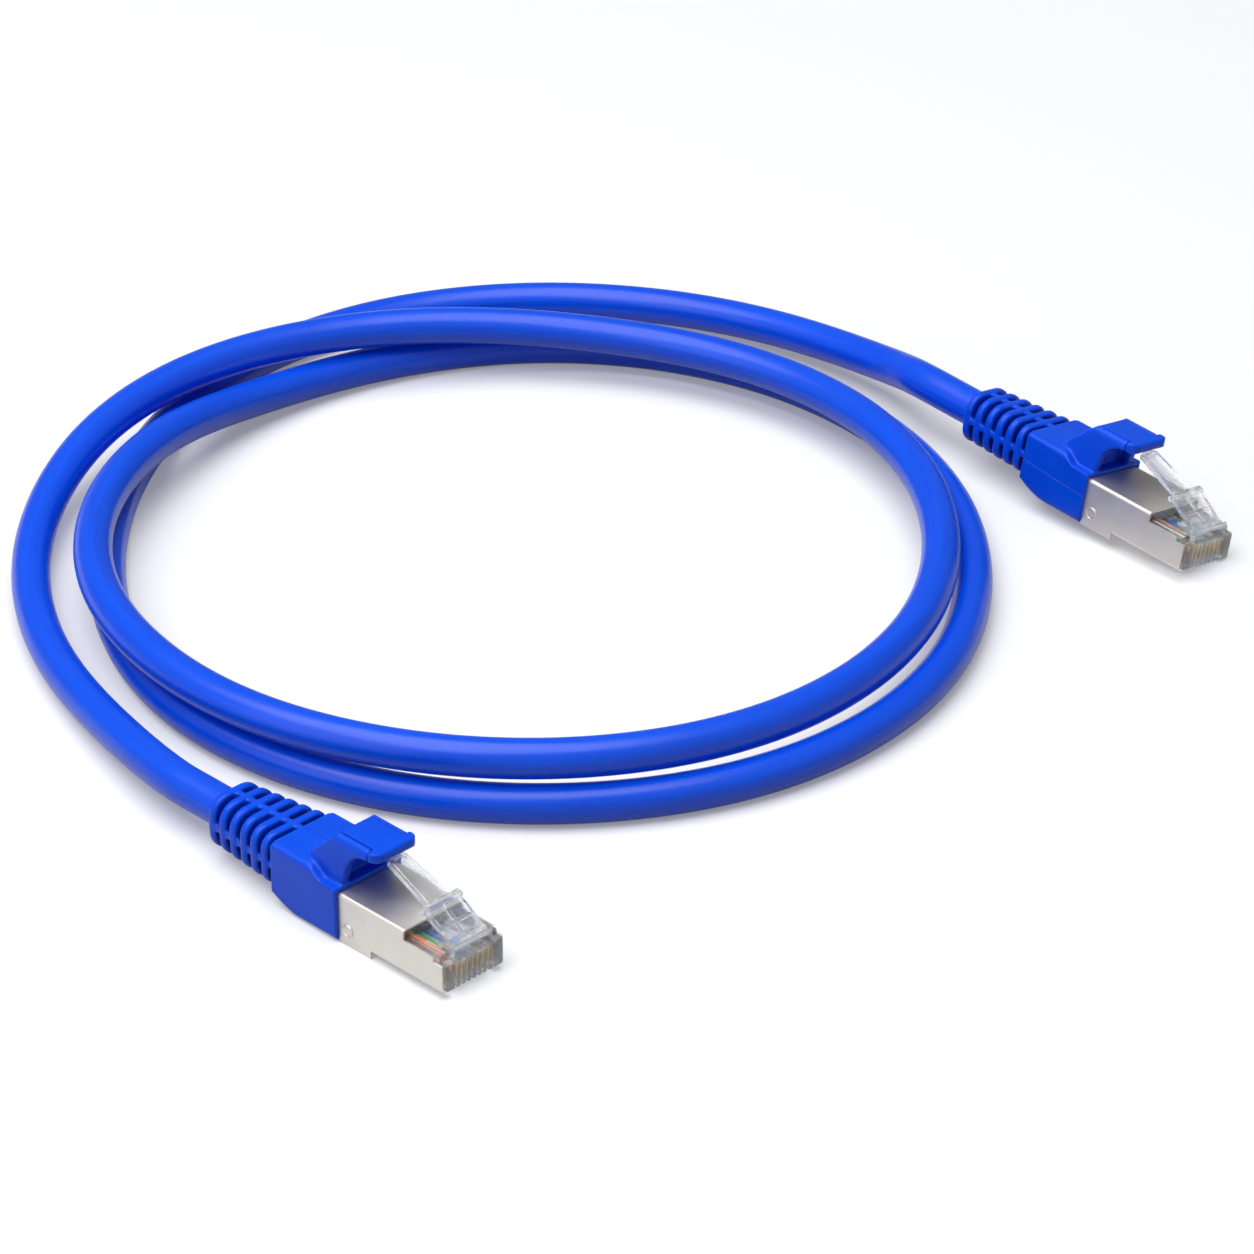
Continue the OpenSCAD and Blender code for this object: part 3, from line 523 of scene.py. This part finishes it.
# Plug bodies
# The clear body is one moulding of polycarbonate: a block with a slot for each contact, a
# cavity for the wires, windows above them, and a cradle at the nose for the latch.
# Its steps under 0.06 mm are joined, so that its edges can take a rounding that shows
body = from_solid("plug_body_a", "clear_plug_body", merge=0.00006)
round_edges(body, radius=0.000046)

# Clear polycarbonate, injection moulded: high gloss, the faintest blue, and soft flow marks.
# A fifth of the light goes straight through, and nearly all of it that would cast a shadow
STRAIGHT_THROUGH = 0.2
clear, tree, where = plug_material("clear_polycarbonate")
flow = noise(tree, where, scale=0.6, detail=2)
gloss = add(tree, "ShaderNodeBsdfPrincipled", {
    "Base Color": srgb("#fdfeff"),
    "Roughness": mapped(tree, flow, 0.02, 0.07),
    "IOR": 1.585,
    "Transmission Weight": 0.965,
    "Coat Weight": 0.6,
    "Coat IOR": 1.7,
    "Coat Roughness": 0.05,
    "Normal": bumped(tree, flow, strength=0.08, distance=0.00006)})
rays = add(tree, "ShaderNodeLightPath").outputs
thin = maths(tree, "MAXIMUM", rays["Is Shadow Ray"], STRAIGHT_THROUGH)
lit = add(tree, "ShaderNodeBsdfTransparent", {"Color": srgb("#f2f5fa")})
glass = add(tree, "ShaderNodeMixShader", {0: thin, 1: gloss.outputs[0], 2: lit.outputs[0]})
add(tree, "ShaderNodeOutputMaterial", {"Surface": glass.outputs[0]})
fit_both_ends(body, "plug_body", [clear])


# Latches
# The sprung arm that clicks into a socket, moulded in polycarbonate: narrow behind, under the
# press tab, and broad in front with shoulders, windows and a root at the nose.
latch = from_solid("latch_a", "sprung_latch")
round_edges(latch, radius=0.000023)
fit_both_ends(latch, "latch", [clear], ("latch_arm_a", "latch_arm_b"))


# Contacts
# Eight blades of phosphor bronze, gold plated over nickel. Each bites into its wire from
# below, and its bright edge shows in its slot at the nose.
blades = from_solid("contacts_a", "gold_contacts")
round_edges(blades, radius=0.00005)

# Gold plate: warm and bright, with duller patches left by the shear
gold, tree, where = plug_material("gold_plate")
shear = noise(tree, where, scale=4.0, detail=3)
surfaced(tree, {
    "Base Color": two_tone(tree, shear, "#f6d898", "#ffecc0"),
    "Metallic": 1.0,
    "Roughness": mapped(tree, shear, 0.3, 0.45)})
fit_both_ends(blades, "contacts", [gold])


# Load bars
# A small comb of the same clear plastic inside each body. It holds the wires in two rows
# while they are pushed under the contacts.
comb = from_solid("load_bar_a", "wire_comb")
round_edges(comb, radius=0.000035)
fit_both_ends(comb, "load_bar", [clear])


# Wires
# Four pairs fan out of the screen into the load bar: one wire of each pair in its colour,
# the other white with bands of that colour. Insulation of solid polyethylene.
TINTS = [("orange", "#ff8a33"), ("green", "#3aa857"), ("blue", "#2f62c8"), ("brown", "#8a5a36")]
WHITE = "#f3efe6"
for name, code in TINTS:
    finishes = []
    for kind in ("solid", "striped"):
        insulation, tree, where = plug_material(f"{kind}_{name}_insulation")
        mottle = noise(tree, where, scale=1.5, detail=2)
        paint = srgb(code)
        if kind == "striped":
            bands = add(tree, "ShaderNodeTexWave", {"Vector": where, "Scale": 0.09, "Distortion": 0.4})
            paint = two_tone(tree, bands.outputs[0], code, WHITE, 0.25, 0.32)
        surfaced(tree, {
            "Base Color": paint,
            "Roughness": mapped(tree, mottle, 0.38, 0.5),
            "IOR": 1.5})
        finishes.append(insulation)
    wires = from_solid(f"pair_{name}_a", f"{name}_pair")
    wires.data.shade_smooth()
    across = [face.center.y for face in wires.data.polygons]
    middle = (min(across) + max(across)) / 2
    for face in wires.data.polygons:
        face.material_index = 1 if face.center.y > middle else 0
    fit_both_ends(wires, f"pair_{name}", finishes)


# Crimp ferrules
# A short tube of tinned copper clamps each shield to the cable's foil and drain wire inside
# the boot.
ferrule = from_solid("crimp_ferrule_a", "tinned_ferrule")
round_edges(ferrule, radius=0.000022)

# Tinned copper: dull silver with the smears of a crimping tool
tinned, tree, where = plug_material("tinned_copper")
smear = noise(tree, where, scale=1.2, detail=3)
surfaced(tree, {
    "Base Color": two_tone(tree, smear, "#b4b5b6", "#cbcbc9"),
    "Metallic": 1.0,
    "Roughness": mapped(tree, smear, 0.32, 0.5)})
fit_both_ends(ferrule, "crimp_ferrule", [tinned])
